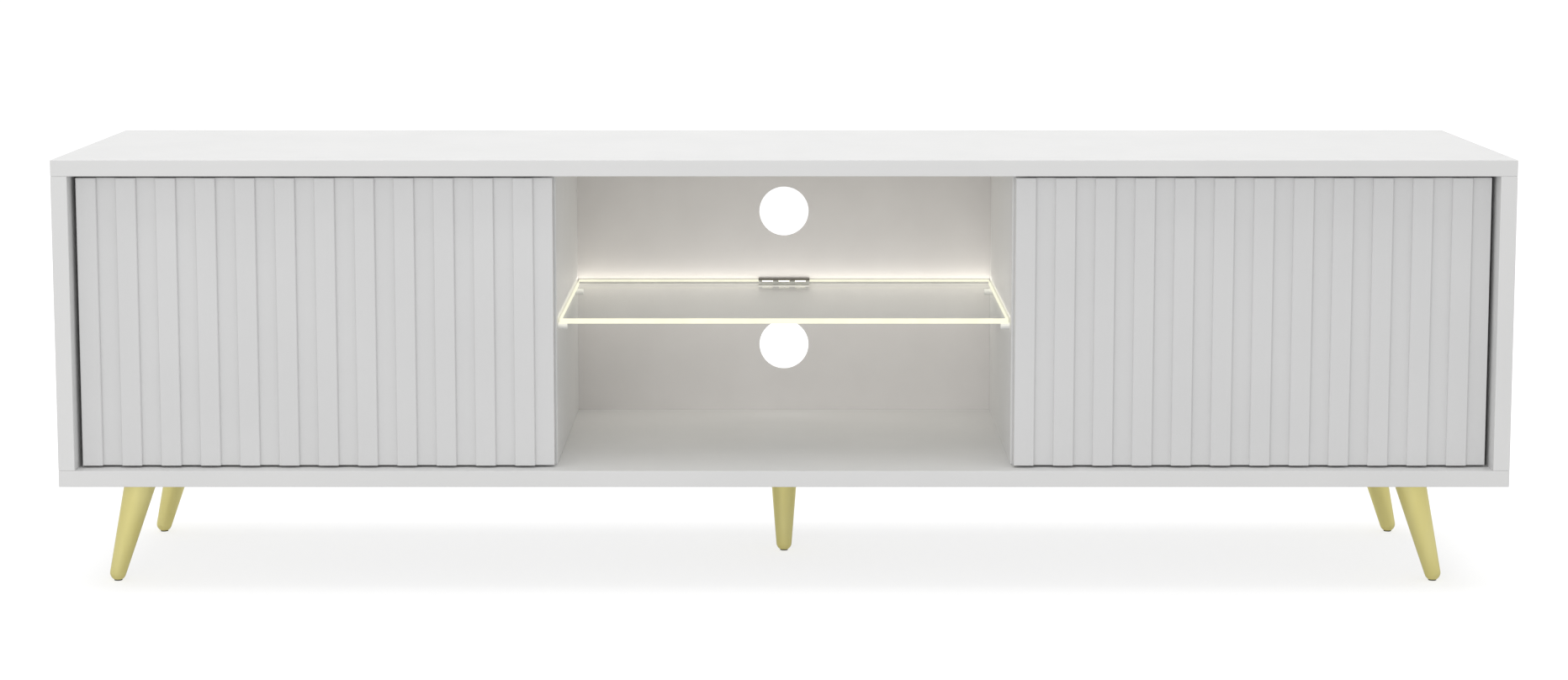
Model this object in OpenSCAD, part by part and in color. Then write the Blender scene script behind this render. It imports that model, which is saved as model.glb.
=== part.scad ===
// Low media cabinet: an open middle bay with a lit glass shelf, a slatted door on each side,
// and five tapered metal legs. Millimetres, front towards -Y, origin under the middle on the floor.

/* [Body] */
// Overall width
body_w = 1600; // [1500:10:1800]
// Overall depth, front edges to the nail heads at the back
body_d = 400; // [380:5:480]
// Height of the carcass, without the legs
body_h = 362; // [350:2:400]
// Thickness of every carcass board
board_t = 18; // [16:0.5:19]
// Thickness of the back sheet
back_t = 3; // [2.5:0.5:4]
// Clear width of the open bay between the dividers
bay_w = 504; // [460:2:560]
// How far the back sheet stays inside the outline of the carcass
back_inset = 2; // [1:0.5:4]

/* [Doors] */
// Thickness of a door at its raised strips
door_t = 18; // [18:0.5:20]
// Distance from the front edges of the carcass to the raised strips
door_recess = 18; // [14:0.5:20]
// Gap between a closed door and the divider behind it
door_back_gap = 2; // [2:0.1:2.5]
// Strip of the divider's front edge that stays visible beside the door
divider_reveal = 2.5; // [2.5:0.1:3]
// Gap between a door and the side panel
door_side_gap = 5; // [3:0.5:6]
// Gap above a door
door_top_gap = 3.5; // [2:0.5:5]
// Gap below a door
door_bottom_gap = 2.5; // [2:0.5:5]
// Number of raised strips on a door
slats = 12; // [8:1:14]
// Width of one raised strip
slat_w = 22.4; // [18:0.2:26]
// Depth of the flat grooves between the strips
groove_depth = 4; // [2:0.5:4]
// Chamfer along the edges of a strip
slat_chamfer = 0.8; // [0.4:0.1:1.5]

/* [Hinges] */
// Distance from a door's upper or lower edge to the nearest hinge
hinge_inset = 80; // [60:5:90]
// Depth of the hinge cup
cup_depth = 11.5; // [11.5:0.1:12]
// Distance from the door's edge to the rim of the cup
cup_edge = 3; // [3:0.1:3.2]
// Diameter of the hinge pins
hinge_pin_d = 3; // [2.6:0.1:3]
// Radial clearance of the links on their pins
pin_clearance = 0.08; // [0.05:0.01:0.1]

/* [Push latches] */
// Distance from the side panel to the latch
latch_inset = 30; // [24:1:60]
// Diameter of the plunger
plunger_d = 6; // [5:0.5:7]
// Length of the latch housing
latch_len = 72; // [60:1:80]

/* [Glass shelf] */
// Thickness of the glass
glass_t = 6; // [5:1:8]
// Height of the glass shelf's top face above the bay floor
glass_height = 162; // [140:1:200]
// Depth of the glass shelf, front to back
glass_d = 336; // [300:1:340]
// Gap between the glass and each divider
glass_side_gap = 2; // [1:0.5:3]
// Gap between the glass and the back sheet
glass_back_gap = 5.4; // [5:0.1:8]
// Width of the light clip
clip_w = 62; // [50:1:80]

/* [Inner shelves] */
// Depth of the shelf behind each door
inner_shelf_d = 320; // [280:1:330]
// Gap between an inner shelf and the boards beside it
inner_shelf_gap = 1; // [0.5:0.5:2]

/* [Cable holes] */
// Diameter of the cable holes in the back sheet
cable_hole_d = 60; // [50:1:60]
// Distance of the cable holes above and below the middle of the bay
cable_hole_offset = 82; // [70:1:90]

/* [Legs] */
// Height from the floor to the bottom board
leg_h = 120; // [100:5:140]
// Diameter at the top of a leg
leg_top_d = 35.6; // [30:0.2:38]
// Diameter of the rounded foot
leg_foot_d = 18; // [16:1:20]
// Sideways lean of the corner legs in degrees
leg_splay = 15; // [0:1:16]
// Distance from the middle of the body to a corner leg's foot
leg_foot_x = 741.8; // [680:1:742]
// Distance from the front or rear edge to a corner leg
leg_edge_y = 68; // [50:1:90]
// Sideways shift of the four corner legs as a group
leg_row_shift = -9.8; // [-10:0.2:0]
// Distance of the centre leg from the front edge
centre_leg_front = 226; // [180:1:240]

/* [Fasteners] */
// Diameter of the cam locks
cam_d = 15; // [12:1:15]
// Distance from a board's end to the middle of a cam lock
cam_inset = 24; // [24:1:34]
// Diameter of the wooden dowels
dowel_d = 8; // [6:1:8]
// Length of the wooden dowels
dowel_len = 30; // [25:1:32]
// Diameter of the back sheet's nails
nail_d = 1.6; // [1.4:0.1:2]
// Number of nails along the top edge and along the bottom edge
nails_per_row = 11; // [7:1:13]

/* [Hidden] */
$fn = 48;

LEFT = -1;
RIGHT = 1;
SIDES = [LEFT, RIGHT];
eps = 1; // extra length that carries a cut past a face

board_colour = [0.93, 0.93, 0.92];
door_colour = [0.9, 0.9, 0.9];
sheet_colour = [0.9, 0.9, 0.88];
glass_colour = [0.85, 0.95, 0.9, 0.4];
light_colour = [1, 0.98, 0.85];
clip_colour = [0.3, 0.29, 0.27];
steel_colour = [0.72, 0.73, 0.75];
gold_colour = [0.83, 0.78, 0.5];
plastic_colour = [0.85, 0.85, 0.83];
black_colour = [0.2, 0.2, 0.21];
zinc_colour = [0.6, 0.6, 0.62];
bolt_colour = [0.75, 0.7, 0.5];
beech_colour = [0.8, 0.65, 0.45];
nail_colour = [0.65, 0.65, 0.67];

// Levels
bottom_z = leg_h;
floor_z = bottom_z + board_t;
top_z = leg_h + body_h - board_t;
inner_h = top_z - floor_z;
mid_z = floor_z + inner_h / 2;

// Depths: the back sheet is nailed on behind the boards, with its nail heads at the very back
nail_head_h = 0.6;
front_y = -body_d / 2;
sheet_back_y = body_d / 2 - nail_head_h;
board_back_y = sheet_back_y - back_t;
door_face_y = front_y + door_recess;
door_back_y = door_face_y + door_t;
divider_front_y = door_back_y + door_back_gap;

// Widths
side_inner_x = body_w / 2 - board_t;
divider_bay_x = bay_w / 2;
divider_cab_x = divider_bay_x + board_t;
door_inner_x = divider_bay_x + divider_reveal;
door_outer_x = side_inner_x - door_side_gap;
door_w = door_outer_x - door_inner_x;
door_low_z = floor_z + door_bottom_gap;
door_high_z = top_z - door_top_gap;
slat_pitch = door_w / slats;

// Concealed hinge, in plan, from the divider's front corner on the cabinet side:
// x towards the bay, y towards the back
hinge_z = [door_low_z + hinge_inset, door_high_z - hinge_inset];
cup_d = 35; // the usual size, which the link and its pins are drawn for
door_edge_x = board_t - divider_reveal;
cup_x = door_edge_x - cup_edge - cup_d / 2;
cup_wall = 1;
cup_floor = 0.7;
flange_t = 1;
flange_d = cup_d + 2;
arm_pin = [-6, -7];
cup_pin = [7.5, -8];
link_mid = [1, -11];
link_w = 2.4;
link_h = 9;
link_arm_eye_d = 5.6;
link_cup_eye_d = 5.2;
link_hole_d = hinge_pin_d + 2 * pin_clearance;
cheek_gap = link_h + 0.8;
cheek_t = 1.2;
arm_nose_d = 6.4;
arm_back_x = -12;
arm_start_y = 14;
arm_end_y = 60;
mount_t = 2.5;
mount_y = 37;
mount_screw_z = 16;
mount_screw_d = 4;
mount_screw_len = 13;
arm_screw_y = 26;
arm_screw_d = 5;
cup_screw_z = 24;
cup_screw_back = 6;
cup_screw_d = 3.5;
cup_screw_len = 12;

// Push latch, hung under the top panel
latch_x = side_inner_x - latch_inset;
latch_w = 16;
latch_h = 22;
latch_drop = 14; // from the top panel to the plunger's axis
latch_axis_z = top_z - latch_drop;
latch_setback = 12;
latch_front_y = divider_front_y + latch_setback;
latch_end_wall = 6;
plunger_clearance = 0.1;
plunger_tail = 22;
strike_t = 1.2;
strike_d = 14;
strike_gap = 0.4;
strike_screw_d = 3;
strike_screw_len = 10;
latch_screw_d = 3.5;
latch_screw_len = 12;
latch_tab = 10;
latch_tab_t = 3;

// Glass shelf and its light clip
glass_top_z = floor_z + glass_height;
glass_low_z = glass_top_z - glass_t;
glass_back_y = board_back_y - glass_back_gap;
glass_front_y = glass_back_y - glass_d;
glass_half_w = bay_w / 2 - glass_side_gap;
glass_pin_inset = [13, 40];
glass_pin_y = [glass_front_y + glass_pin_inset[0], glass_back_y - glass_pin_inset[1]];
pin_shank_d = 5;
pin_depth = 8;
glass_pin_d = 8;
glass_pin_len = 10;
clip_lip_t = 1.8;
clip_lip_d = 11;
clip_web_t = 3.4;
diode = [13, 1.6, 2.2];
diode_pitch = 20;
diode_drop = 0.8; // from the glass's top face to the diodes

// Inner shelves
shelf_low_z = mid_z - board_t / 2;
shelf_back_gap = 4;
shelf_back_y = board_back_y - shelf_back_gap;
shelf_front_y = shelf_back_y - inner_shelf_d;
shelf_pin_inset = [35, 75];
shelf_pin_y = [shelf_front_y + shelf_pin_inset[0], shelf_back_y - shelf_pin_inset[1]];
shelf_pin_d = 8;
shelf_pin_len = 9;

// Cam joints and dowels along the ends of the four upright boards
cam_y = [-110, 130];
dowel_y = [-70, 60];
dowel_offset = 3; // from the joint to a dowel's middle, towards the upright
upright_x = [divider_bay_x + board_t / 2, side_inner_x + board_t / 2];
cam_depth = 12.5;
cam_bore_d = 7;
cam_bolt_thread_d = 5;
cam_bolt_thread_len = 11;
cam_neck_d = 4;
cam_head_d = 6.4;
cam_head_h = 3;

// Nails of the back sheet
nail_len = 20;
nail_head_d = 4.5;
nail_row_z = [bottom_z + board_t / 2, top_z + board_t / 2];
nail_row_end = 26; // from the middle of a side panel to the first nail of a row
nail_row_half = upright_x[1] - nail_row_end;
nail_pitch = 2 * nail_row_half / (nails_per_row - 1);
nail_row_x = [for (i = [0 : nails_per_row - 1]) i * nail_pitch - nail_row_half];
nail_column_places = [0.18, 0.5, 0.82]; // as shares of the inner height
nail_column_z = [for (f = nail_column_places) floor_z + f * inner_h];

// Legs
plate_t = 3;
plate_size = 60;
plate_screw_pitch = 46;
plate_screw_d = 4;
plate_screw_len = 14;
plate_z = bottom_z - plate_t;
glide_h = 1;
glide_d = 9;
glide_pin_d = 2.5;
glide_pin_len = 8;
leg_fn = 96;
foot_r = leg_foot_d / 2;
foot_z = glide_h + sqrt(pow(foot_r, 2) - pow(glide_d / 2, 2)); // leaves a flat under the foot for its glide
stud_d = 8;
stud_len = 28;
leg_foot_y = body_d / 2 - leg_edge_y;
centre_leg_y = front_y + centre_leg_front;
leg_axis_len = (plate_z - foot_z) / cos(leg_splay);
leg_taper = asin((leg_top_d / 2 - foot_r) / leg_axis_len);
// Each leg: [foot x, foot y, lean towards the middle in degrees, positive for a left leg]
FRONT_LEFT = [leg_row_shift - leg_foot_x, -leg_foot_y, leg_splay];
FRONT_RIGHT = [leg_row_shift + leg_foot_x, -leg_foot_y, -leg_splay];
REAR_LEFT = [leg_row_shift - leg_foot_x, leg_foot_y, leg_splay];
REAR_RIGHT = [leg_row_shift + leg_foot_x, leg_foot_y, -leg_splay];
CENTRE = [0, centre_leg_y, 0];
LEGS = [FRONT_LEFT, FRONT_RIGHT, REAR_LEFT, REAR_RIGHT, CENTRE];

// ---------------------------------------------------------------- shared shapes

// Box between two corners
module box(low, high) {
    translate(low) cube(high - low);
}

// Cylinder along +Y from the origin
module rod_y(d, len) {
    rotate([-90, 0, 0]) cylinder(d = d, h = len);
}

// Cylinder along +X from the origin
module rod_x(d, len) {
    rotate([0, 90, 0]) cylinder(d = d, h = len);
}

// Draws its children, made for the left half, on the given side
module on_side(side) {
    if (side == LEFT) children();
    else mirror([1, 0, 0]) children();
}

// Plan of the hinge frame at the divider's front corner, on one side and at one height
module at_hinge(side, z) {
    on_side(side) translate([-divider_cab_x, divider_front_y, z]) children();
}

// Screw head with a cross recess, from z = -h up to z = 0
module screw_head(d, h) {
    recess = [0.6 * d, 0.14 * d, 0.6 * h];
    difference() {
        translate([0, 0, -h]) cylinder(d = d, h = h);
        for (a = [0, 90]) rotate([0, 0, a]) translate([-recess[0] / 2, -recess[1] / 2, -h - eps])
            cube([recess[0], recess[1], recess[2] + eps]);
    }
}

// Pan-head screw pointing along +Z, with the underside of its head at z = 0
module screw(d, len, head_d, head_h) {
    screw_head(head_d, head_h);
    cylinder(d = d, h = len);
}

// ---------------------------------------------------------------- holes

// Cross lines where the upright boards meet the top and bottom panels: children are drawn
// with +Z pointing from the upright's end into the horizontal board
module at_upright_ends(x) {
    translate([x, 0, top_z]) children();
    translate([x, 0, floor_z]) mirror([0, 0, 1]) children();
}

module dowel_shapes(x) {
    at_upright_ends(x) for (y = dowel_y) translate([0, y, -dowel_len / 2 - dowel_offset])
        cylinder(d = dowel_d, h = dowel_len);
}

// Threaded holes in the top and bottom panels
module cam_bolt_pilots() {
    for (x = upright_x, s = SIDES) at_upright_ends(s * x) for (y = cam_y) translate([0, y, -eps])
        cylinder(d = cam_bolt_thread_d, h = cam_bolt_thread_len + eps);
}

// Cam pockets, open towards the cabinet, and the bolt holes that lead to them.
// face_x is the board's face on the cabinet side and into is the direction into the board.
module cam_cuts(x, face_x, into) {
    at_upright_ends(x) for (y = cam_y) {
        translate([0, y, -cam_inset]) cylinder(d = cam_bore_d, h = cam_inset + eps);
        translate([face_x - x, y, -cam_inset]) rotate([0, into * 90, 0]) translate([0, 0, -eps])
            cylinder(d = cam_d, h = cam_depth + eps);
    }
}

// Nail shanks at every nail position
module nail_shanks() {
    for (p = nail_points()) translate([p[0], sheet_back_y - nail_len, p[1]]) rod_y(nail_d, nail_len + eps);
}

function nail_points() = concat(
    [for (x = nail_row_x, z = nail_row_z) [x, z]],
    [for (s = SIDES, x = upright_x, z = nail_column_z) [s * x, z]]);

// Blind holes for shelf pins in an upright face; sink is +1 or -1 along x, into the board
module pin_holes(face_x, sink, ys, z) {
    for (y = ys) translate([face_x - sink * eps, y, z]) rotate([0, sink * 90, 0])
        cylinder(d = pin_shank_d, h = pin_depth + eps);
}

// ---------------------------------------------------------------- carcass boards

module top_panel() {
    color(board_colour) difference() {
        box([-body_w / 2, front_y, top_z], [body_w / 2, board_back_y, top_z + board_t]);
        cam_bolt_pilots();
        for (x = upright_x, s = SIDES) dowel_shapes(s * x);
        nail_shanks();
        for (s = SIDES) latch_screw_shanks(s);
    }
}

module bottom_panel() {
    color(board_colour) difference() {
        box([-body_w / 2, front_y, bottom_z], [body_w / 2, board_back_y, floor_z]);
        cam_bolt_pilots();
        for (x = upright_x, s = SIDES) dowel_shapes(s * x);
        nail_shanks();
        for (leg = LEGS) at_plate_screws(leg) cylinder(d = plate_screw_d, h = plate_screw_len);
    }
}

module side_panel(side) {
    x = side * upright_x[1];
    color(board_colour) difference() {
        box([x - board_t / 2, front_y, floor_z], [x + board_t / 2, board_back_y, top_z]);
        dowel_shapes(x);
        cam_cuts(x, side * side_inner_x, side);
        nail_shanks();
        pin_holes(side * side_inner_x, side, shelf_pin_y, shelf_low_z - shelf_pin_d / 2);
    }
}

module divider(side) {
    x = side * upright_x[0];
    color(board_colour) difference() {
        box([x - board_t / 2, divider_front_y, floor_z], [x + board_t / 2, board_back_y, top_z]);
        dowel_shapes(x);
        cam_cuts(x, side * divider_cab_x, -side);
        nail_shanks();
        pin_holes(side * divider_bay_x, side, glass_pin_y, glass_low_z - glass_pin_d / 2);
        pin_holes(side * divider_cab_x, -side, shelf_pin_y, shelf_low_z - shelf_pin_d / 2);
        for (z = hinge_z) at_hinge(side, z) mount_screw_shanks();
    }
}

module back_panel() {
    color(sheet_colour) difference() {
        box([-body_w / 2 + back_inset, board_back_y, bottom_z + back_inset],
            [body_w / 2 - back_inset, sheet_back_y, top_z + board_t - back_inset]);
        for (dz = [-cable_hole_offset, cable_hole_offset]) translate([0, board_back_y - eps, mid_z + dz])
            rod_y(cable_hole_d, back_t + 2 * eps);
        nail_shanks();
    }
}

// ---------------------------------------------------------------- glass shelf and light

module glass_shelf() {
    color(glass_colour)
        box([-glass_half_w, glass_front_y, glass_low_z], [glass_half_w, glass_back_y, glass_top_z]);
}

// Shelf pin along +X: the shank goes into the board and the head carries the shelf
module shelf_pin(head_d, head_len) {
    translate([-pin_depth, 0, 0]) rod_x(pin_shank_d, pin_depth);
    rod_x(head_d, head_len);
}

module glass_shelf_pins() {
    color(plastic_colour) for (s = SIDES, y = glass_pin_y) on_side(s)
        translate([-divider_bay_x, y, glass_low_z - glass_pin_d / 2])
            shelf_pin(glass_pin_d, glass_pin_len);
}

// U-shaped clip pushed over the glass's rear edge, with pockets for the diodes in its web
module led_clip() {
    color(clip_colour) difference() {
        box([-clip_w / 2, glass_back_y - clip_lip_d, glass_low_z - clip_lip_t],
            [clip_w / 2, glass_back_y + clip_web_t, glass_top_z + clip_lip_t]);
        box([-clip_w / 2 - eps, glass_front_y, glass_low_z], [clip_w / 2 + eps, glass_back_y, glass_top_z]);
        diodes();
    }
}

module diodes() {
    for (i = [-1, 0, 1])
        translate([i * diode_pitch - diode[0] / 2, glass_back_y, glass_top_z - diode_drop - diode[2]])
            cube(diode);
}

module led_diodes() {
    color(light_colour) diodes();
}

// ---------------------------------------------------------------- inner shelves

module inner_shelf(side) {
    color(board_colour) on_side(side)
        box([-side_inner_x + inner_shelf_gap, shelf_front_y, shelf_low_z],
            [-divider_cab_x - inner_shelf_gap, shelf_back_y, shelf_low_z + board_t]);
}

module inner_shelf_pins() {
    color(plastic_colour) for (s = SIDES, y = shelf_pin_y) on_side(s)
        translate([0, y, shelf_low_z - shelf_pin_d / 2]) {
            translate([-side_inner_x, 0, 0]) shelf_pin(shelf_pin_d, shelf_pin_len);
            translate([-divider_cab_x, 0, 0]) mirror([1, 0, 0]) shelf_pin(shelf_pin_d, shelf_pin_len);
        }
}

// ---------------------------------------------------------------- doors

// Section of one raised strip that starts at x
function slat(x) = let (low = door_face_y + groove_depth, c = slat_chamfer) [
    [x, low], [x, door_face_y + c], [x + c, door_face_y],
    [x + slat_w - c, door_face_y], [x + slat_w, door_face_y + c], [x + slat_w, low]];

// Both doors are the same board: a strip at the left edge and a groove at the right edge
module door_panel(side) {
    x0 = side == LEFT ? -door_outer_x : door_inner_x;
    section = [for (i = [0 : slats - 1]) each slat(x0 + i * slat_pitch)];
    color(door_colour) difference() {
        translate([0, 0, door_low_z]) linear_extrude(door_high_z - door_low_z)
            polygon(concat(section, [[x0 + door_w, door_face_y + groove_depth],
                                     [x0 + door_w, door_back_y], [x0, door_back_y]]));
        for (z = hinge_z) at_hinge(side, z) {
            translate([cup_x, -door_back_gap - cup_depth, 0]) rod_y(cup_d, cup_depth + eps);
            cup_screw_shanks();
        }
        on_side(side) translate([-latch_x, door_back_y - strike_screw_len, latch_axis_z])
            rod_y(strike_screw_d, strike_screw_len + eps);
    }
}

// ---------------------------------------------------------------- concealed hinges

// Shanks of the two screws that hold a cup to the door, in the hinge frame
module cup_screw_shanks() {
    for (z = [-cup_screw_z, cup_screw_z])
        translate([cup_x - cup_screw_back, -door_back_gap - cup_screw_len, z])
            rod_y(cup_screw_d, cup_screw_len + flange_t);
}

// Shanks of the two screws that hold a mounting plate to the divider, in the hinge frame
module mount_screw_shanks() {
    for (z = [-mount_screw_z, mount_screw_z]) translate([-mount_t, mount_y, z])
        rod_x(mount_screw_d, mount_t + mount_screw_len);
}

// Round cup with a flange that lies on the door's back
module hinge_cup(side, z) {
    flange_ear_r = 6;
    color(steel_colour) at_hinge(side, z) difference() {
        union() {
            translate([cup_x, -door_back_gap - cup_depth, 0]) rod_y(cup_d, cup_depth);
            translate([cup_x, -door_back_gap, 0]) rotate([-90, 0, 0]) linear_extrude(flange_t) {
                circle(d = flange_d);
                for (s = [-1, 1]) translate([-cup_screw_back, s * cup_screw_z]) circle(flange_ear_r);
                translate([-cup_screw_back - flange_ear_r, -cup_screw_z])
                    square([2 * flange_ear_r, 2 * cup_screw_z]);
            }
        }
        translate([cup_x, -door_back_gap - cup_depth + cup_floor, 0])
            rod_y(cup_d - 2 * cup_wall, cup_depth + flange_t);
        cup_screw_shanks();
        translate([cup_pin[0], cup_pin[1], -cup_d / 2]) cylinder(d = hinge_pin_d, h = cup_d);
    }
}

// Cup pins, whose ends are ground to the curve of the cup's wall
module hinge_cup_pins(side) {
    color(steel_colour) for (z = hinge_z) at_hinge(side, z) intersection() {
        translate([cup_pin[0], cup_pin[1], -cup_d / 2]) cylinder(d = hinge_pin_d, h = cup_d);
        translate([cup_x, -cup_d, 0]) rod_y(cup_d - cup_wall / 2, cup_d);
    }
}

// Centre of the circle through three points
function arc_centre(a, b, c) =
    let (d = 2 * (a[0] * (b[1] - c[1]) + b[0] * (c[1] - a[1]) + c[0] * (a[1] - b[1])))
    [(a * a * (b[1] - c[1]) + b * b * (c[1] - a[1]) + c * c * (a[1] - b[1])) / d,
     (a * a * (c[0] - b[0]) + b * b * (a[0] - c[0]) + c * c * (b[0] - a[0])) / d];

// Curved link that dips towards the cup's floor between the arm pin and the cup pin
module hinge_link(side, z) {
    centre = arc_centre(arm_pin, link_mid, cup_pin);
    r = norm(arm_pin - centre);
    reach = 3 * r;
    color(steel_colour) at_hinge(side, z) difference() {
        translate([0, 0, -link_h / 2]) linear_extrude(link_h) {
            translate(arm_pin) circle(d = link_arm_eye_d);
            translate(cup_pin) circle(d = link_cup_eye_d);
            intersection() {
                translate(centre) difference() {
                    circle(r + link_w / 2);
                    circle(r - link_w / 2);
                }
                polygon([centre, centre + reach * (arm_pin - centre) / r,
                         centre + [0, -reach], centre + reach * (cup_pin - centre) / r]);
            }
        }
        for (p = [arm_pin, cup_pin]) translate([p[0], p[1], -link_h])
            cylinder(d = link_hole_d, h = 2 * link_h);
    }
}

// Side view of the arm's two cheeks
module arm_cheek_outline() {
    nose_r = arm_nose_d / 2;
    translate(arm_pin) circle(nose_r);
    polygon([[arm_pin[0] - nose_r, arm_pin[1]], [arm_pin[0] + nose_r, arm_pin[1]], [-mount_t, arm_start_y],
             [-mount_t, arm_end_y], [arm_back_x, arm_end_y], [arm_back_x, arm_start_y]]);
}

// Pressed steel arm: two cheeks joined by a web on the side away from the divider
module hinge_arm(side, z) {
    half = cheek_gap / 2 + cheek_t;
    web_start = 6;
    color(steel_colour) at_hinge(side, z) difference() {
        translate([0, 0, -half]) linear_extrude(2 * half) arm_cheek_outline();
        translate([0, 0, -cheek_gap / 2]) linear_extrude(cheek_gap)
            polygon([[arm_back_x + cheek_t, arm_end_y + eps], [arm_back_x + cheek_t, arm_start_y],
                     [arm_pin[0] - arm_nose_d, web_start],
                     [arm_pin[0] - arm_nose_d, arm_pin[1] - arm_nose_d],
                     [eps, arm_pin[1] - arm_nose_d], [eps, arm_end_y + eps]]);
        translate([arm_pin[0], arm_pin[1], -half - eps]) cylinder(d = hinge_pin_d, h = 2 * half + 2 * eps);
        translate([arm_back_x - eps, arm_screw_y, 0]) rod_x(arm_screw_d, cheek_t + 2 * eps);
    }
}

module hinge_arm_pins() {
    half = cheek_gap / 2 + cheek_t;
    color(steel_colour) for (s = SIDES, z = hinge_z) at_hinge(s, z)
        translate([arm_pin[0], arm_pin[1], -half]) cylinder(d = hinge_pin_d, h = 2 * half);
}

// Cross-shaped mounting plate on the divider, with a threaded boss under the arm's screw
module hinge_plate(side, z) {
    wing_w = 12;
    wing_h = 46;
    boss_d = 8;
    color(steel_colour) at_hinge(side, z) difference() {
        union() {
            box([-mount_t, arm_start_y, -cheek_gap / 2 - cheek_t], [0, arm_end_y, cheek_gap / 2 + cheek_t]);
            box([-mount_t, mount_y - wing_w / 2, -wing_h / 2], [0, mount_y + wing_w / 2, wing_h / 2]);
            translate([arm_back_x + cheek_t, arm_screw_y, 0]) rod_x(boss_d, -arm_back_x - cheek_t);
        }
        mount_screw_shanks();
        translate([arm_back_x, arm_screw_y, 0]) rod_x(arm_screw_d, -arm_back_x + eps);
    }
}

// Two wood screws and one machine screw for each mounting plate
module hinge_plate_screws() {
    head_d = 7.5;
    head_h = 2;
    color(steel_colour) for (s = SIDES, z = hinge_z) at_hinge(s, z) {
        for (dz = [-mount_screw_z, mount_screw_z]) translate([-mount_t, mount_y, dz])
            rotate([0, 90, 0]) screw(mount_screw_d, mount_t + mount_screw_len, head_d, head_h);
        translate([arm_back_x, arm_screw_y, 0]) rotate([0, 90, 0])
            screw(arm_screw_d, -arm_back_x - cheek_t, head_d, head_h);
    }
}

module hinge_cup_screws(side) {
    head_d = 7;
    head_h = 0.8;
    color(steel_colour) for (z = hinge_z) at_hinge(side, z) {
        cup_screw_shanks();
        for (dz = [-cup_screw_z, cup_screw_z])
            translate([cup_x - cup_screw_back, flange_t - door_back_gap, dz])
                rotate([90, 0, 0]) screw_head(head_d, head_h);
    }
}

// ---------------------------------------------------------------- push latches

module latch_screw_shanks(side) {
    on_side(side) for (y = [latch_front_y - latch_tab / 2, latch_front_y + latch_len + latch_tab / 2])
        translate([-latch_x, y, top_z - latch_tab_t])
            cylinder(d = latch_screw_d, h = latch_tab_t + latch_screw_len);
}

// Housing with a screw tab at each end and a blind bore for the plunger
module latch_housing(side) {
    bore = plunger_d + 2 * plunger_clearance;
    color(plastic_colour) difference() {
        on_side(side) {
            box([-latch_x - latch_w / 2, latch_front_y, top_z - latch_h],
                [-latch_x + latch_w / 2, latch_front_y + latch_len, top_z]);
            box([-latch_x - latch_w / 2, latch_front_y - latch_tab, top_z - latch_tab_t],
                [-latch_x + latch_w / 2, latch_front_y + latch_len + latch_tab, top_z]);
        }
        on_side(side) translate([-latch_x, latch_front_y - eps, latch_axis_z])
            rod_y(bore, latch_len - latch_end_wall + eps);
        latch_screw_shanks(side);
    }
}

// Sliding rod with a wider magnetic tip; the door's strike rests against the tip when closed
module latch_plunger(side) {
    tip_d = 10;
    tip_len = 6;
    tip_y = door_back_y + strike_t + strike_gap;
    color(black_colour) on_side(side) translate([-latch_x, tip_y, latch_axis_z]) {
        rod_y(tip_d, tip_len);
        rod_y(plunger_d, latch_front_y + latch_len - plunger_tail - tip_y);
    }
}

// Steel strike screwed to the door's back
module latch_strike(side) {
    color(steel_colour) on_side(side) translate([-latch_x, door_back_y, latch_axis_z]) {
        rod_y(strike_d, strike_t);
        translate([0, -strike_screw_len, 0]) rod_y(strike_screw_d, strike_screw_len);
    }
}

module latch_screws() {
    head_d = 6.5;
    head_h = 2;
    color(steel_colour) for (s = SIDES) {
        latch_screw_shanks(s);
        on_side(s) for (y = [latch_front_y - latch_tab / 2, latch_front_y + latch_len + latch_tab / 2])
            translate([-latch_x, y, top_z - latch_tab_t]) screw_head(head_d, head_h);
    }
}

// ---------------------------------------------------------------- legs

// Places its children at a leg's foot, with +Z along the leg
module along_leg(leg) {
    translate([leg[0], leg[1], foot_z]) rotate([0, leg[2], 0]) children();
}

// Where a leg's axis meets the mounting plate
function leg_top_x(leg) = leg[0] + (plate_z - foot_z) * tan(leg[2]);

// Half of the leg's outline: a round foot that runs into a straight taper
module leg_profile() {
    over = 20; // past the plate, where a leaning leg is cut level
    s = sin(leg_taper);
    c = cos(leg_taper);
    end = leg_axis_len + over;
    intersection() {
        union() {
            circle(foot_r, $fn = leg_fn);
            polygon([[0, -foot_r * s], [foot_r * c, -foot_r * s],
                     [foot_r / c + end * tan(leg_taper), end], [0, end]]);
        }
        translate([0, -leg_foot_d]) square([leg_top_d, end + 2 * leg_foot_d]);
    }
}

module tapered_leg(leg) {
    reach = 2 * leg_top_d;
    color(gold_colour) difference() {
        along_leg(leg) rotate_extrude($fn = leg_fn) leg_profile();
        translate([leg_top_x(leg) - reach, leg[1] - reach, plate_z]) cube([2 * reach, 2 * reach, reach]);
        translate([leg[0] - reach, leg[1] - reach, glide_h - reach]) cube([2 * reach, 2 * reach, reach]);
        along_leg(leg) translate([0, 0, leg_axis_len - stud_len]) cylinder(d = stud_d, h = 2 * stud_len);
        glide_pin(leg);
    }
}

// Places its children at a plate's four screws, at the board's underside
module at_plate_screws(leg) {
    half = plate_screw_pitch / 2;
    for (dx = [-half, half], dy = [-half, half])
        translate([leg_top_x(leg) + dx, leg[1] + dy, bottom_z]) children();
}

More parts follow.
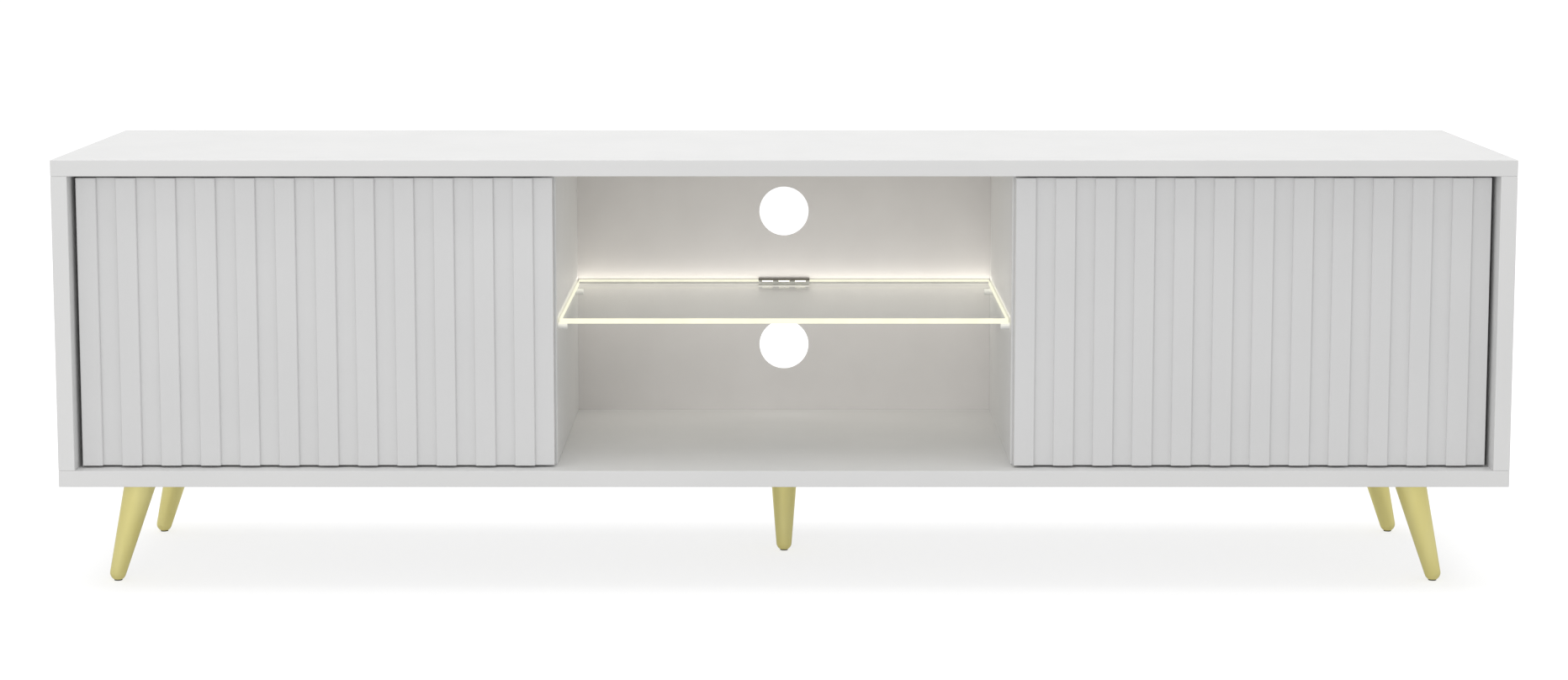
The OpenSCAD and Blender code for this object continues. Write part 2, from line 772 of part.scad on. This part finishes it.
module leg_plates() {
    color(steel_colour) for (leg = LEGS) difference() {
        translate([leg_top_x(leg) - plate_size / 2, leg[1] - plate_size / 2, plate_z])
            cube([plate_size, plate_size, plate_t]);
        along_leg(leg) translate([0, 0, leg_axis_len - stud_len]) cylinder(d = stud_d, h = 2 * stud_len);
        at_plate_screws(leg) translate([0, 0, -plate_t - eps])
            cylinder(d = plate_screw_d, h = plate_t + 2 * eps);
    }
}

// Threaded studs that join the legs to their plates, cut level with the plate's top
module leg_studs() {
    reach = 2 * leg_top_d;
    color(steel_colour) for (leg = LEGS) difference() {
        along_leg(leg) translate([0, 0, leg_axis_len - stud_len]) cylinder(d = stud_d, h = 2 * stud_len);
        translate([leg_top_x(leg) - reach, leg[1] - reach, bottom_z]) cube([2 * reach, 2 * reach, reach]);
    }
}

module leg_plate_screws() {
    head_d = 8;
    head_h = 2.4;
    color(steel_colour) for (leg = LEGS) at_plate_screws(leg) translate([0, 0, -plate_t])
        screw(plate_screw_d, plate_t + plate_screw_len, head_d, head_h);
}

module glide_pin(leg) {
    translate([leg[0], leg[1], 0]) cylinder(d = glide_pin_d, h = glide_h + glide_pin_len);
}

// Flat glides, each with a pin that is pressed into the foot
module leg_glides() {
    color(black_colour) for (leg = LEGS) {
        translate([leg[0], leg[1], 0]) cylinder(d = glide_d, h = glide_h);
        glide_pin(leg);
    }
}

// ---------------------------------------------------------------- fasteners

// Cam lock along +Z into the board, open towards +X for the bolt's head
module cam_lock() {
    slot = [8, 1.6, 2];
    difference() {
        cylinder(d = cam_d, h = cam_depth);
        translate([0, 0, board_t / 2]) rod_x(cam_bore_d, cam_d);
        for (a = [45, 135]) rotate([0, 0, a]) translate([-slot[0] / 2, -slot[1] / 2, -eps])
            cube([slot[0], slot[1], slot[2] + eps]);
    }
}

module cam_locks() {
    color(zinc_colour) for (s = SIDES, i = [0, 1]) {
        face = i == 0 ? divider_cab_x : side_inner_x;
        into = i == 0 ? -s : s;
        at_upright_ends(s * upright_x[i]) for (y = cam_y)
            translate([s * (face - upright_x[i]), y, -cam_inset])
                if (into > 0) rotate([0, 90, 0]) mirror([1, 0, 0]) cam_lock();
                else rotate([0, -90, 0]) cam_lock();
    }
}

// Cam bolt: thread in the horizontal board, shank in the upright, head inside the cam
module cam_bolts() {
    shank_len = cam_inset - cam_d / 2;
    color(bolt_colour) for (x = upright_x, s = SIDES) at_upright_ends(s * x)
        for (y = cam_y) translate([0, y, 0]) {
            cylinder(d = cam_bolt_thread_d, h = cam_bolt_thread_len);
            translate([0, 0, -shank_len]) cylinder(d = cam_bore_d, h = shank_len);
            translate([0, 0, -cam_inset]) cylinder(d = cam_neck_d, h = cam_inset);
            translate([0, 0, -cam_inset]) cylinder(d = cam_head_d, h = cam_head_h);
        }
}

module wooden_dowels() {
    color(beech_colour) for (x = upright_x, s = SIDES) dowel_shapes(s * x);
}

module back_panel_nails() {
    color(nail_colour) for (p = nail_points()) translate([p[0], sheet_back_y, p[1]]) {
        translate([0, -nail_len, 0]) rod_y(nail_d, nail_len);
        rod_y(nail_head_d, nail_head_h);
    }
}

// ---------------------------------------------------------------- one line for each sub-part

top_panel();
bottom_panel();
side_panel(LEFT);  // left_side_panel
side_panel(RIGHT);  // right_side_panel
divider(LEFT);  // left_divider
divider(RIGHT);  // right_divider
back_panel();
glass_shelf();
glass_shelf_pins();
led_clip();
led_diodes();
inner_shelf(LEFT);  // left_inner_shelf
inner_shelf(RIGHT);  // right_inner_shelf
inner_shelf_pins();
door_panel(LEFT);  // left_door_panel
door_panel(RIGHT);  // right_door_panel
hinge_cup(LEFT, hinge_z[0]);  // left_lower_hinge_cup
hinge_cup(LEFT, hinge_z[1]);  // left_upper_hinge_cup
hinge_cup(RIGHT, hinge_z[0]);  // right_lower_hinge_cup
hinge_cup(RIGHT, hinge_z[1]);  // right_upper_hinge_cup
hinge_link(LEFT, hinge_z[0]);  // left_lower_hinge_link
hinge_link(LEFT, hinge_z[1]);  // left_upper_hinge_link
hinge_link(RIGHT, hinge_z[0]);  // right_lower_hinge_link
hinge_link(RIGHT, hinge_z[1]);  // right_upper_hinge_link
hinge_arm(LEFT, hinge_z[0]);  // left_lower_hinge_arm
hinge_arm(LEFT, hinge_z[1]);  // left_upper_hinge_arm
hinge_arm(RIGHT, hinge_z[0]);  // right_lower_hinge_arm
hinge_arm(RIGHT, hinge_z[1]);  // right_upper_hinge_arm
hinge_plate(LEFT, hinge_z[0]);  // left_lower_hinge_plate
hinge_plate(LEFT, hinge_z[1]);  // left_upper_hinge_plate
hinge_plate(RIGHT, hinge_z[0]);  // right_lower_hinge_plate
hinge_plate(RIGHT, hinge_z[1]);  // right_upper_hinge_plate
hinge_cup_pins(LEFT);  // left_hinge_cup_pins
hinge_cup_pins(RIGHT);  // right_hinge_cup_pins
hinge_arm_pins();
hinge_cup_screws(LEFT);  // left_hinge_cup_screws
hinge_cup_screws(RIGHT);  // right_hinge_cup_screws
hinge_plate_screws();
latch_housing(LEFT);  // left_latch_housing
latch_housing(RIGHT);  // right_latch_housing
latch_plunger(LEFT);  // left_latch_plunger
latch_plunger(RIGHT);  // right_latch_plunger
latch_strike(LEFT);  // left_latch_strike
latch_strike(RIGHT);  // right_latch_strike
latch_screws();
tapered_leg(FRONT_LEFT);  // front_left_leg
tapered_leg(FRONT_RIGHT);  // front_right_leg
tapered_leg(REAR_LEFT);  // rear_left_leg
tapered_leg(REAR_RIGHT);  // rear_right_leg
tapered_leg(CENTRE);  // centre_leg
leg_plates();
leg_studs();
leg_plate_screws();
leg_glides();
cam_locks();
cam_bolts();
wooden_dowels();
back_panel_nails();
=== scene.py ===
"""Looks of a low media cabinet: white boards, slatted doors, a lit glass shelf and gold legs."""
import math

import bmesh
import bpy
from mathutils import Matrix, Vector


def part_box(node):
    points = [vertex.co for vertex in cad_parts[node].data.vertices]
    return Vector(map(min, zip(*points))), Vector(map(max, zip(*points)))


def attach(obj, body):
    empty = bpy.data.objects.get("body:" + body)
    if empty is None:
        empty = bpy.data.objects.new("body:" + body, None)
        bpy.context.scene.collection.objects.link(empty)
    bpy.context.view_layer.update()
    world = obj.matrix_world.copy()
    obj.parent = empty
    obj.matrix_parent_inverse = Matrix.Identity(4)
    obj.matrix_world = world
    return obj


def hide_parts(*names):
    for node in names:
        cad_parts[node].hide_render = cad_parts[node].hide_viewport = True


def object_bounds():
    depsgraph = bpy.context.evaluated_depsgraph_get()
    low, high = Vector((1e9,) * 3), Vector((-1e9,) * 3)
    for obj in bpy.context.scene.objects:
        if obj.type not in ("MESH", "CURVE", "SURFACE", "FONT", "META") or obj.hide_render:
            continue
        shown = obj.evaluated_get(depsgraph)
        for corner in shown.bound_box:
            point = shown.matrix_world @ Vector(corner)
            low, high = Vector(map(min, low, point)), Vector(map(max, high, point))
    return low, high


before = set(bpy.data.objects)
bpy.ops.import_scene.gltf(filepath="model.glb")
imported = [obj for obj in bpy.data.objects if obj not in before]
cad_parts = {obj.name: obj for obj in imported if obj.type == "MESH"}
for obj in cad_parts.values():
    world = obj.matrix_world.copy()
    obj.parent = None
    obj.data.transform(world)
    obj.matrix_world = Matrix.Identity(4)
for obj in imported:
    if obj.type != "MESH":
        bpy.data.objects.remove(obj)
CAD_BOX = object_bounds()

MM = 0.001
NOISE = (0.3, 0.7)  # the range that most of a noise texture falls in
GLOW = (1.0, 0.97, 0.77)  # the lit edges of the glass shelf
SPILL = (1.0, 0.955, 0.88)  # what their light adds to the white boards around them
CLEAR, LIT = 0, 1  # the glass pane's slots


# ---------------------------------------------------------------- building materials


def new_material(name, values):
    """A Principled material with plain values on its sockets: the material, its tree and its shader."""
    material = bpy.data.materials.new(name)
    material.use_nodes = True
    tree = material.node_tree
    shader = tree.nodes["Principled BSDF"]
    for socket, value in values.items():
        shader.inputs[socket].default_value = value
    return material, tree, shader


def grain(tree, size, detail=2.0, stretch=(1, 1, 1)):
    """Noise from 0 to 1 with features of this size in metres, drawn out along the axes in stretch."""
    place = tree.nodes.new("ShaderNodeTexCoord")
    scale = tree.nodes.new("ShaderNodeMapping")
    scale.inputs["Scale"].default_value = [1 / (size * s) for s in stretch]
    noise = tree.nodes.new("ShaderNodeTexNoise")
    noise.inputs["Scale"].default_value = 1.0
    noise.inputs["Detail"].default_value = detail
    tree.links.new(place.outputs["Object"], scale.inputs["Vector"])
    tree.links.new(scale.outputs["Vector"], noise.inputs["Vector"])
    return noise.outputs["Fac"]


def map_range(tree, factor, start, end, low, high):
    """A value that runs from low to high while factor runs from start to end."""
    node = tree.nodes.new("ShaderNodeMapRange")
    node.inputs["From Min"].default_value = start
    node.inputs["From Max"].default_value = end
    node.inputs["To Min"].default_value = low
    node.inputs["To Max"].default_value = high
    tree.links.new(factor, node.inputs["Value"])
    return node.outputs["Result"]


def spread(tree, factor, low, high):
    """The middle of a noise, stretched over the range from low to high."""
    return map_range(tree, factor, *NOISE, low, high)


def colour_between(tree, shader, factor, dark, light):
    """Drives the base colour from dark to light."""
    ramp = tree.nodes.new("ShaderNodeValToRGB")
    for element, place, colour in zip(ramp.color_ramp.elements, NOISE, (dark, light)):
        element.position = place
        element.color = (*colour, 1)
    tree.links.new(factor, ramp.inputs["Fac"])
    tree.links.new(ramp.outputs["Color"], shader.inputs["Base Color"])


def roughen(tree, shader, factor, low, high):
    """Drives the roughness from low to high."""
    tree.links.new(spread(tree, factor, low, high), shader.inputs["Roughness"])


def bare_below(tree, shader, level, blend, colour):
    """Paints a plain light colour below this height, over a line of this width: a painted glow standing
    in for the diodes' light in the clip's channel.
    """
    painted = shader.inputs["Base Color"].links[0].from_socket
    place = tree.nodes.new("ShaderNodeTexCoord")
    axes = tree.nodes.new("ShaderNodeSeparateXYZ")
    above = map_range(tree, axes.outputs["Z"], level - blend / 2, level + blend / 2, 0, 1)
    diode_glow = tree.nodes.new("ShaderNodeMix")
    diode_glow.data_type = "RGBA"
    diode_glow.inputs["A"].default_value = (*colour, 1)
    tree.links.new(place.outputs["Object"], axes.inputs["Vector"])
    tree.links.new(above, diode_glow.inputs["Factor"])
    tree.links.new(painted, diode_glow.inputs["B"])
    tree.links.new(diode_glow.outputs["Result"], shader.inputs["Base Color"])


def raise_surface(tree, shader, factor, height):
    """Bumps of this height in metres."""
    bump = tree.nodes.new("ShaderNodeBump")
    bump.inputs["Strength"].default_value = 1.0
    bump.inputs["Distance"].default_value = height
    tree.links.new(factor, bump.inputs["Height"])
    tree.links.new(bump.outputs["Normal"], shader.inputs["Normal"])


# ---------------------------------------------------------------- the materials, one for each slot


def white_board():
    """Melamine-faced board: even satin white with a fine pressed texture."""
    material, tree, shader = new_material("white_board", {"Specular IOR Level": 0.4})
    colour_between(tree, shader, grain(tree, 0.12), (0.775, 0.775, 0.77), (0.795, 0.793, 0.788))
    roughen(tree, shader, grain(tree, 0.03), 0.42, 0.52)
    raise_surface(tree, shader, grain(tree, 0.9 * MM), 0.006 * MM)
    return material


def white_door():
    """Lacquered door: a shade greyer than the boards, with a soft orange peel."""
    material, tree, shader = new_material("white_door", {"Specular IOR Level": 0.45})
    colour_between(tree, shader, grain(tree, 0.15), (0.715, 0.715, 0.715), (0.735, 0.735, 0.735))
    roughen(tree, shader, grain(tree, 0.02), 0.34, 0.44)
    raise_surface(tree, shader, grain(tree, 2.4 * MM), 0.012 * MM)
    return material


def back_sheet():
    """Thin hardboard, painted a slightly warm white."""
    material, tree, shader = new_material("back_sheet", {"Specular IOR Level": 0.3})
    colour_between(tree, shader, grain(tree, 0.05), (0.72, 0.7, 0.685), (0.745, 0.725, 0.71))
    roughen(tree, shader, grain(tree, 0.02), 0.55, 0.68)
    raise_surface(tree, shader, grain(tree, 1.4 * MM, detail=4), 0.02 * MM)
    return material


def gold_leg():
    """Satin champagne gold on steel, with the faintest brushing along the leg."""
    material, tree, shader = new_material("gold_leg", {"Metallic": 0.75, "Specular IOR Level": 0.5})
    along = grain(tree, 0.02, stretch=(1, 1, 4))
    colour_between(tree, shader, along, (0.93, 0.83, 0.32), (0.97, 0.88, 0.38))
    roughen(tree, shader, grain(tree, 1.2 * MM, stretch=(1, 1, 12)), 0.3, 0.38)
    raise_surface(tree, shader, grain(tree, 0.8 * MM, stretch=(1, 1, 20)), 0.0015 * MM)
    return material


def plated_steel():
    """Nickel-plated pressings, pins and screws."""
    material, tree, shader = new_material("plated_steel", {"Metallic": 1.0})
    colour_between(tree, shader, grain(tree, 6 * MM), (0.58, 0.58, 0.57), (0.68, 0.68, 0.67))
    roughen(tree, shader, grain(tree, 2 * MM, detail=4), 0.22, 0.36)
    raise_surface(tree, shader, grain(tree, 0.7 * MM), 0.004 * MM)
    return material


def zinc_cam():
    """Dull die-cast zinc."""
    material, tree, shader = new_material("zinc_cam", {"Metallic": 1.0})
    colour_between(tree, shader, grain(tree, 3 * MM, detail=5), (0.42, 0.43, 0.44), (0.56, 0.57, 0.58))
    roughen(tree, shader, grain(tree, 1 * MM), 0.42, 0.58)
    raise_surface(tree, shader, grain(tree, 0.8 * MM), 0.02 * MM)
    return material


def white_plastic():
    """Moulded shelf pins and latch housings."""
    material, tree, shader = new_material("white_plastic", {"Specular IOR Level": 0.5})
    colour_between(tree, shader, grain(tree, 8 * MM), (0.76, 0.76, 0.75), (0.79, 0.79, 0.78))
    roughen(tree, shader, grain(tree, 3 * MM), 0.34, 0.46)
    raise_surface(tree, shader, grain(tree, 0.5 * MM), 0.008 * MM)
    return material


def dark_plastic():
    """Black glass-filled nylon of the latch plungers and leg glides; the glides' black also stands in for
    painted shade under the feet.
    """
    material, tree, shader = new_material("dark_plastic", {"Specular IOR Level": 0.5})
    colour_between(tree, shader, grain(tree, 2 * MM, detail=4), (0.028, 0.028, 0.03), (0.05, 0.05, 0.052))
    roughen(tree, shader, grain(tree, 2 * MM), 0.4, 0.55)
    raise_surface(tree, shader, grain(tree, 0.4 * MM), 0.012 * MM)
    return material


def dark_clip():
    """Dark bronze anodised aluminium, brushed along the shelf, with a painted glow of the diodes' light
    below their tops.
    """
    material, tree, shader = new_material("dark_clip", {"Metallic": 0.35, "Specular IOR Level": 0.5})
    brushed = grain(tree, 4 * MM, stretch=(6, 1, 1))
    colour_between(tree, shader, brushed, (0.10, 0.088, 0.07), (0.14, 0.125, 0.10))
    diode_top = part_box("led_diodes")[1].z
    # painted glow: light grey below the diodes' tops stands in for their light in the channel
    bare_below(tree, shader, diode_top, 0.4 * MM, (0.86, 0.84, 0.79))
    roughen(tree, shader, grain(tree, 1 * MM, stretch=(20, 1, 1)), 0.35, 0.5)
    raise_surface(tree, shader, grain(tree, 0.5 * MM, stretch=(30, 1, 1)), 0.006 * MM)
    return material


def light_diode():
    """A diode's yellow phosphor, lit: brightest in the middle of the grain."""
    values = {"Emission Color": (1.0, 0.98, 0.82, 1), "Roughness": 0.3}
    material, tree, shader = new_material("light_diode", values)
    colour_between(tree, shader, grain(tree, 1 * MM), (0.85, 0.78, 0.35), (0.95, 0.9, 0.55))
    tree.links.new(spread(tree, grain(tree, 1.5 * MM), 1.6, 2.6), shader.inputs["Emission Strength"])
    return material


def beech():
    """Beech dowels, with the grain and the small dark flecks along their length."""
    material, tree, shader = new_material("beech", {"Specular IOR Level": 0.3})
    along = grain(tree, 1 * MM, detail=6, stretch=(1, 1, 9))
    colour_between(tree, shader, along, (0.5, 0.32, 0.17), (0.72, 0.52, 0.33))
    roughen(tree, shader, grain(tree, 2 * MM, stretch=(1, 1, 6)), 0.55, 0.72)
    raise_surface(tree, shader, grain(tree, 0.6 * MM, detail=4, stretch=(1, 1, 14)), 0.05 * MM)
    return material


def clear_glass():
    """Flat faces of the glass shelf: clear, and mirroring only where they are seen at a low angle."""
    material, tree, shader = new_material("clear_glass", {"Specular IOR Level": 0.5})
    colour_between(tree, shader, grain(tree, 0.2), (0.8, 0.82, 0.8), (0.84, 0.86, 0.84))
    roughen(tree, shader, grain(tree, 0.05), 0.02, 0.05)
    through = tree.nodes.new("ShaderNodeBsdfTransparent")
    through.inputs["Color"].default_value = (0.985, 0.99, 0.985, 1)
    rim = tree.nodes.new("ShaderNodeFresnel")
    rim.inputs["IOR"].default_value = 1.45
    mix = tree.nodes.new("ShaderNodeMixShader")
    output = tree.nodes["Material Output"]
    tree.links.new(map_range(tree, rim.outputs["Fac"], 0, 1, 0.01, 0.22), mix.inputs["Fac"])
    tree.links.new(through.outputs["BSDF"], mix.inputs[1])
    tree.links.new(shader.outputs["BSDF"], mix.inputs[2])
    tree.links.new(mix.outputs["Shader"], output.inputs["Surface"])
    return material


def lit_glass_edge():
    """Ground edge of the glass shelf, glowing with the light that the diodes feed into it."""
    values = {"Emission Color": (*GLOW, 1), "Specular IOR Level": 0.3}
    material, tree, shader = new_material("lit_glass_edge", values)
    colour_between(tree, shader, grain(tree, 0.03), (0.1, 0.11, 0.08), (0.13, 0.14, 0.1))
    roughen(tree, shader, grain(tree, 2 * MM), 0.45, 0.6)
    tree.links.new(spread(tree, grain(tree, 0.02), 0.92, 1.0), shader.inputs["Emission Strength"])
    return material


MAKERS = [white_board, white_door, back_sheet, gold_leg, plated_steel, zinc_cam, white_plastic,
          dark_plastic, dark_clip, light_diode, beech, clear_glass]


def dress_cad_nodes():
    """Gives every CAD node the full material of the record's slot that it came with."""
    made = {maker.__name__: maker() for maker in MAKERS}
    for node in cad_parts.values():
        for slot in node.material_slots:
            slot.material = made[slot.material.name.split(".")[0]]
    return made


def soften_edges(nodes, width):
    """Rounds the hard edges of these CAD nodes, after joining each board's triangles into whole faces."""
    for name in nodes:
        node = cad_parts[name]
        weld = node.modifiers.new("weld", "WELD")
        weld.merge_threshold = 0.01 * MM
        flatten = node.modifiers.new("flatten", "DECIMATE")
        flatten.decimate_type = "DISSOLVE"
        flatten.angle_limit = math.radians(1)
        bevel = node.modifiers.new("bevel", "BEVEL")
        bevel.width = width
        bevel.segments = 2
        bevel.limit_method = "ANGLE"
        bevel.angle_limit = math.radians(60)
        bevel.use_clamp_overlap = False


def soften_boards():
    """Rounded edges, which also show where the boards meet, and finer ones on the doors."""
    boards = ["top_panel", "bottom_panel", "left_side_panel", "right_side_panel", "left_divider",
              "right_divider", "left_inner_shelf", "right_inner_shelf"]
    soften_edges(boards, 0.8 * MM)
    soften_edges(["left_door_panel", "right_door_panel"], 0.35 * MM)


# ---------------------------------------------------------------- glass shelf


def glass_outline(low, high, clip_half, relief):
    """Plan of the pane, seen from above: a rectangle, set back a little where the clip sits."""
    back = high.y
    return [(low.x, low.y), (high.x, low.y), (high.x, back), (clip_half, back),
            (clip_half, back - relief), (-clip_half, back - relief), (-clip_half, back), (low.x, back)]


def glass_shelf_pane(materials):
    """The glass shelf with ground arrises: clear faces, and edges that glow except behind the clip."""
    skin = 0.05 * MM  # keeps the pane off the surfaces that it rests on
    arris = 0.4 * MM
    relief = 0.2 * MM
    rear_band = 3 * MM  # what is seen of the glowing rear edge, bent up by the glass
    low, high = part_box("glass_shelf")
    low, high = low + Vector([skin] * 3), high - Vector([skin] * 3)
    clip_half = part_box("led_clip")[1].x
    mesh = bmesh.new()
    ring = [mesh.verts.new((x, y, low.z)) for x, y in glass_outline(low, high, clip_half, relief)]
    bottom = mesh.faces.new(ring)
    lifted = bmesh.ops.extrude_face_region(mesh, geom=[bottom])["geom"]
    top = [part for part in lifted if isinstance(part, bmesh.types.BMVert)]
    bmesh.ops.translate(mesh, vec=(0, 0, high.z - low.z), verts=top)
    bmesh.ops.recalc_face_normals(mesh, faces=mesh.faces)
    level = [e for e in mesh.edges if abs(e.verts[0].co.z - e.verts[1].co.z) < skin]
    bmesh.ops.bevel(mesh, geom=level, offset=arris, segments=1, profile=0.5, affect="EDGES")
    split = high.z - rear_band
    bmesh.ops.bisect_plane(mesh, geom=list(mesh.verts) + list(mesh.edges) + list(mesh.faces),
                           plane_co=(0, 0, split), plane_no=(0, 0, 1))
    for face in mesh.faces:
        centre = face.calc_center_median()
        flat = abs(face.normal.z) > 0.95
        unlit_rear = face.normal.y > 0.5 and (abs(centre.x) < clip_half or centre.z < split)
        face.material_index = CLEAR if flat or unlit_rear else LIT
    data = bpy.data.meshes.new("glass_shelf_pane")
    mesh.to_mesh(data)
    mesh.free()
    pane = bpy.data.objects.new("glass_shelf_pane", data)
    bpy.context.scene.collection.objects.link(pane)
    data.materials.append(materials["clear_glass"])
    data.materials.append(lit_glass_edge())
    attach(pane, "carcass")
    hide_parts("glass_shelf")


# ---------------------------------------------------------------- stage, light and camera


def area_light(name, place, size, power, colour=(1, 1, 1), target=None):
    """A rectangular light that looks down, or towards target."""
    data = bpy.data.lights.new(name, "AREA")
    data.shape = "RECTANGLE"
    data.size, data.size_y = size
    data.energy = power
    data.color = colour
    light = bpy.data.objects.new(name, data)
    light.location = place
    if target is not None:
        light.rotation_euler = (Vector(target) - Vector(place)).to_track_quat("-Z", "Y").to_euler()
    bpy.context.scene.collection.objects.link(light)
    return light


def studio_lights():
    """A large soft light behind the camera, a little to the left, and another overhead."""
    middle = (CAD_BOX[0] + CAD_BOX[1]) / 2
    area_light("front_light", (-0.9, -4.6, 1.15), (3.4, 1.7), 46.0, target=middle)
    area_light("overhead_light", (0.0, 0.35, 3.2), (4.4, 3.8), 68.0, target=middle)


def shelf_light(name, place, size, radiance):
    """A strip of light beside the glass, facing up when it is above the shelf and down when below."""
    light = area_light(name, place, size, radiance * math.pi * size[0] * size[1], SPILL)
    if name.endswith("above"):
        light.rotation_euler = (math.pi, 0, 0)


def shelf_glow():
    """Light that spills from the lit edges of the glass on to the back sheet and the dividers."""
    low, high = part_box("glass_shelf")
    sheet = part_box("back_panel")[0].y
    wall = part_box("right_divider")[0].x
    lift = 0.3 * MM
    rear, wide, side = 16 * MM, 60 * MM, 12 * MM
    depth = high.y - low.y
    middle = (low.y + high.y) / 2
    above, below = high.z + lift, low.z - lift
    shelf_light("pane_above", (0, middle, above), (high.x - low.x, depth), 0.24)
    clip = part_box("led_clip")
    shelf_light("clip_above", (0, clip[1].y - rear / 2, clip[1].z + lift), (2 * clip[1].x, rear), 1.8)
    shelf_light("rear_above", (0, sheet - rear / 2, above), (2 * wall, rear), 1.5)
    shelf_light("rear_below", (0, sheet - rear / 2, below), (2 * wall, rear), 0.9)
    shelf_light("wide_below", (0, sheet - wide / 2, below), (2 * wall, wide), 0.75)
    for name, x in (("left", side / 2 - wall), ("right", wall - side / 2)):
        shelf_light(f"{name}_above", (x, middle, above), (side, depth), 1.3)
        shelf_light(f"{name}_below", (x, middle, below), (side, depth), 0.6)


def seen_or_lit(tree, seen, lit):
    """A stage light's strength: seen by the camera, and lit as it falls on the object."""
    path = tree.nodes.new("ShaderNodeLightPath")
    return map_range(tree, path.outputs["Is Camera Ray"], 0, 1, lit, seen)


def distance_from_middle(tree):
    """How far a point of the floor is from its middle."""
    place = tree.nodes.new("ShaderNodeTexCoord")
    distance = tree.nodes.new("ShaderNodeVectorMath")
    distance.operation = "LENGTH"
    tree.links.new(place.outputs["Object"], distance.inputs[0])
    return distance.outputs["Value"]


def studio_floor():
    """A floor so pale that it fades into the background, with only a soft shadow."""
    half = 40.0
    near, far = 1.1, 1.9  # distances from the middle, between which it grows lighter to the eye
    seen_near, seen_far, lit = 0.675, 0.78, 0.22
    corners = [(-half, -half, 0), (half, -half, 0), (half, half, 0), (-half, half, 0)]
    data = bpy.data.meshes.new("studio_floor")
    data.from_pydata(corners, [], [(0, 1, 2, 3)])
    floor = bpy.data.objects.new("studio_floor", data)
    bpy.context.scene.collection.objects.link(floor)
    values = {"Emission Color": (1, 1, 1, 1), "Roughness": 1.0, "Specular IOR Level": 0.0}
    material, tree, shader = new_material("studio_floor", values)
    colour_between(tree, shader, grain(tree, 0.5), (0.46, 0.46, 0.46), (0.465, 0.465, 0.465))
    strength = seen_or_lit(tree, seen_near, lit)
    seen = map_range(tree, distance_from_middle(tree), near, far, seen_near, seen_far)
    tree.links.new(seen, strength.node.inputs["To Max"])
    tree.links.new(strength, shader.inputs["Emission Strength"])
    data.materials.append(material)


def studio_world():
    """White to look at, and a softer light on the object."""
    world = bpy.data.worlds.new("studio_world")
    world.use_nodes = True
    bpy.context.scene.world = world
    background = world.node_tree.nodes["Background"]
    background.inputs["Color"].default_value = (1, 1, 1, 1)
    world.node_tree.links.new(seen_or_lit(world.node_tree, 1.0, 0.62), background.inputs["Strength"])


def add_camera():
    """A long lens in front of the cabinet, a little above it and looking slightly down."""
    distance, height = 3.584, 0.794
    tilt = 6.843  # degrees down from level
    data = bpy.data.cameras.new("camera")
    data.lens = 71.6
    data.sensor_width = 36.0
    data.shift_y = -0.06
    camera = bpy.data.objects.new("camera", data)
    camera.location = (0.0, -distance, height)
    camera.rotation_euler = (math.radians(90 - tilt), 0, 0)
    bpy.context.scene.collection.objects.link(camera)
    bpy.context.scene.camera = camera


add_camera()
studio_world()
studio_floor()
studio_lights()
bpy.context.scene.view_settings.view_transform = "Standard"
materials = dress_cad_nodes()
soften_boards()
glass_shelf_pane(materials)
shelf_glow()
